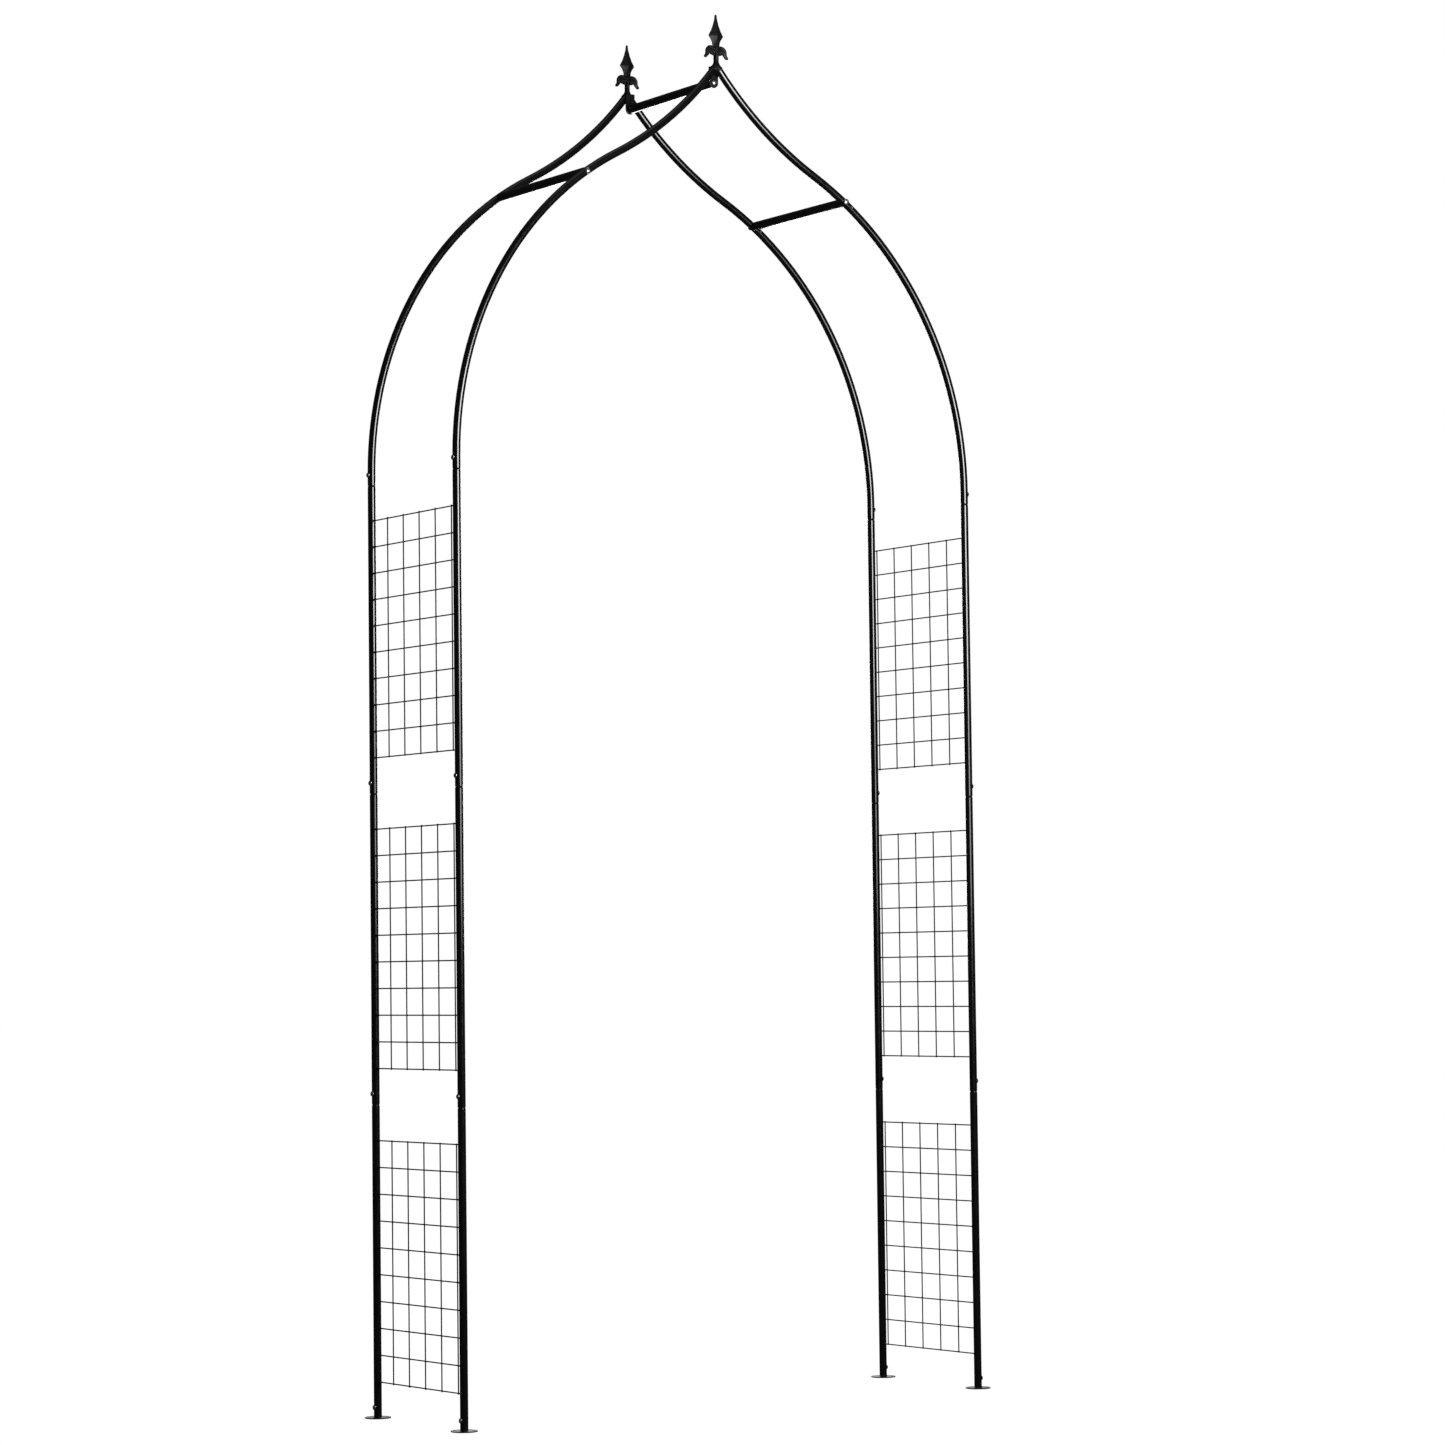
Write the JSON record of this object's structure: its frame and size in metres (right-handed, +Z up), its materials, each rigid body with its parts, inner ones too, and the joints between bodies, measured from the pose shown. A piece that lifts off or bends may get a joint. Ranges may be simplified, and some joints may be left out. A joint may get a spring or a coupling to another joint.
{
  "type": "garden trellis arch",
  "caption": "Free-standing metal garden arch with a pointed ogee crown, spear finials, wire mesh on both sides and round ground plates.",
  "frame": {"origin": "on the ground, in the middle of the four feet", "axes": "+X across the walkway from the left legs to the right, +Y through the walkway from the front frame to the back, +Z up"},
  "size_m": [1.236, 0.36, 2.673],
  "materials": {
    "black_tube": "glossy black powder coat on steel tube",
    "black_wire": "satin black powder coat on steel wire",
    "black_plate": "satin black powder coat on steel plate",
    "black_casting": "black powder coat over a slightly rough casting",
    "zinc": "bright zinc plate"
  },
  "bodies": {
    "root": {"left_front_lower_leg": "black_tube", "left_front_middle_leg": "black_tube", "left_front_upper_leg": "black_tube", "left_front_curved_tube": "black_tube", "left_front_foot_plate": "black_plate", "left_front_foot_spigot": "black_plate", "left_back_lower_leg": "black_tube", "left_back_middle_leg": "black_tube", "left_back_upper_leg": "black_tube", "left_back_curved_tube": "black_tube", "left_back_foot_plate": "black_plate", "left_back_foot_spigot": "black_plate", "left_lower_cross_wires": "black_wire", "left_lower_upright_wires": "black_wire", "left_middle_cross_wires": "black_wire", "left_middle_upright_wires": "black_wire", "left_upper_cross_wires": "black_wire", "left_upper_upright_wires": "black_wire", "left_shoulder_bar": "black_tube", "right_front_lower_leg": "black_tube", "right_front_middle_leg": "black_tube", "right_front_upper_leg": "black_tube", "right_front_curved_tube": "black_tube", "right_front_foot_plate": "black_plate", "right_front_foot_spigot": "black_plate", "right_back_lower_leg": "black_tube", "right_back_middle_leg": "black_tube", "right_back_upper_leg": "black_tube", "right_back_curved_tube": "black_tube", "right_back_foot_plate": "black_plate", "right_back_foot_spigot": "black_plate", "right_lower_cross_wires": "black_wire", "right_lower_upright_wires": "black_wire", "right_middle_cross_wires": "black_wire", "right_middle_upright_wires": "black_wire", "right_upper_cross_wires": "black_wire", "right_upper_upright_wires": "black_wire", "right_shoulder_bar": "black_tube", "crown_bar": "black_tube", "bar_end_plugs": "black_plate", "front_crown_fitting": "black_casting", "front_finial": "black_casting", "back_crown_fitting": "black_casting", "back_finial": "black_casting", "leg_joint_screws": "zinc", "foot_screws": "zinc", "shoulder_bar_screws": "zinc", "crown_bar_screws": "zinc", "vent_plugs": "zinc"}
  },
  "joints": []
}
